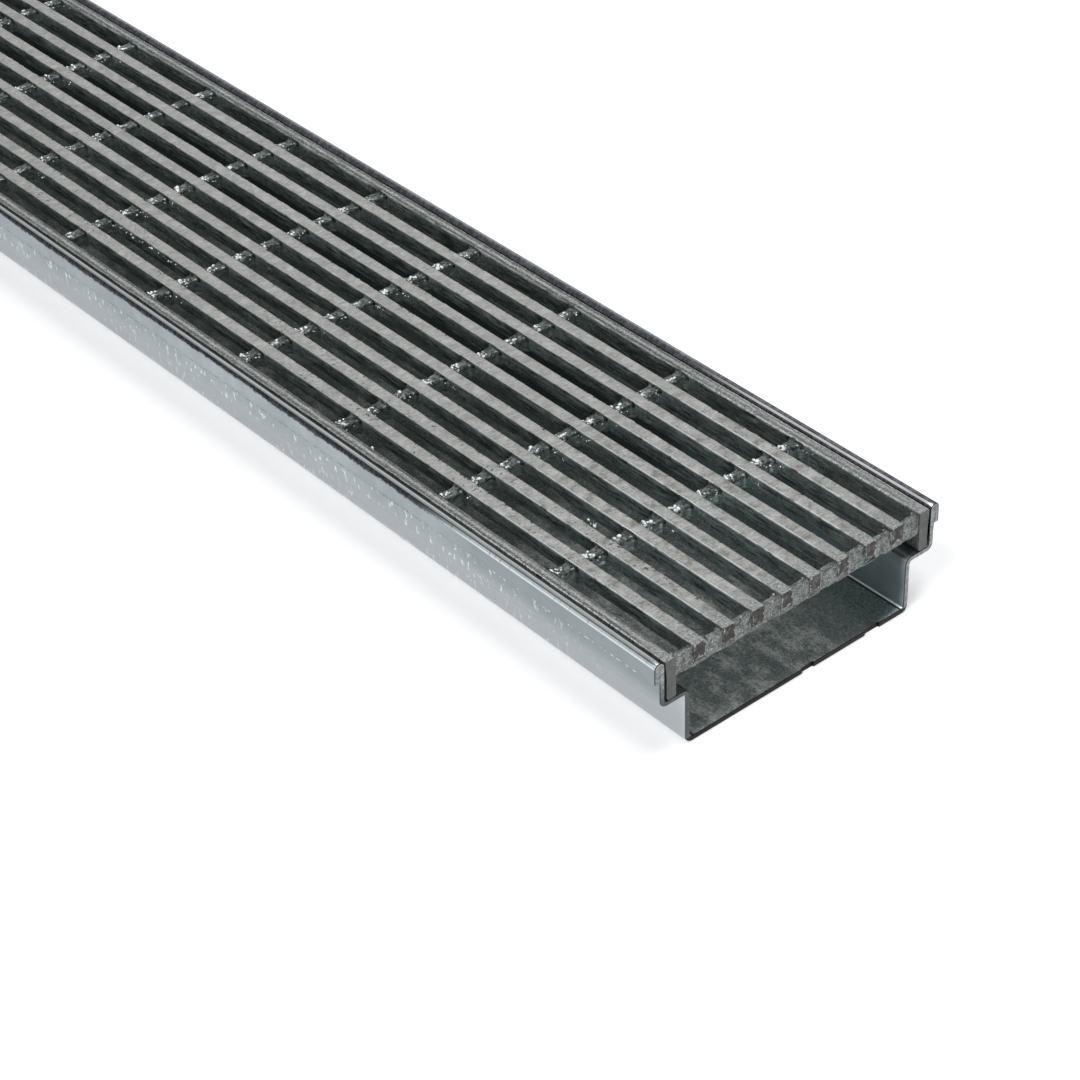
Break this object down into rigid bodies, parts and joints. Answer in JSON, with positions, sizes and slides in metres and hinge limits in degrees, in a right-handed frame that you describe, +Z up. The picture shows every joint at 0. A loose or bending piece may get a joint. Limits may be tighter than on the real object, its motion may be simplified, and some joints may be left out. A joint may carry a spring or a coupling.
{
  "type": "channel drain",
  "caption": "Shallow folded steel drainage channel, open at both ends, with a lift-out grate of long bars resting on its inner shelves.",
  "frame": {"origin": "middle of the underside of the base, where the channel rests", "axes": "+X across the channel to the right rim, +Y along the channel away from the near end, +Z up through the grate"},
  "size_m": [0.13, 1, 0.04],
  "materials": {
    "sheet_zinc": "hot-dip galvanised sheet, satin, with faint streaks",
    "flat_zinc": "hot-dip galvanised flat, rough and mottled",
    "ground_bar": "galvanised bar with its top ground bright across",
    "cross_zinc": "hot-dip galvanised, thick zinc at the welds",
    "rough_zinc": "hot-dip galvanised, grainy"
  },
  "bodies": {
    "root": {"channel": "sheet_zinc", "edge_flat_left": "flat_zinc", "edge_flat_right": "flat_zinc", "bar_1": "ground_bar", "bar_2": "ground_bar", "bar_3": "ground_bar", "bar_4": "ground_bar", "bar_5": "ground_bar", "bar_6": "ground_bar", "bar_7": "ground_bar", "bar_8": "ground_bar", "cross_bar_01": "cross_zinc", "cross_bar_02": "cross_zinc", "cross_bar_03": "cross_zinc", "cross_bar_04": "cross_zinc", "cross_bar_05": "cross_zinc", "cross_bar_06": "cross_zinc", "cross_bar_07": "cross_zinc", "cross_bar_08": "cross_zinc", "cross_bar_09": "cross_zinc", "cross_bar_10": "cross_zinc", "cross_bar_11": "cross_zinc", "cross_bar_12": "cross_zinc", "cross_bar_13": "cross_zinc", "cross_bar_14": "cross_zinc", "cross_bar_15": "cross_zinc", "cross_bar_16": "cross_zinc", "end_bar_near": "rough_zinc", "end_bar_far": "rough_zinc"}
  },
  "joints": []
}
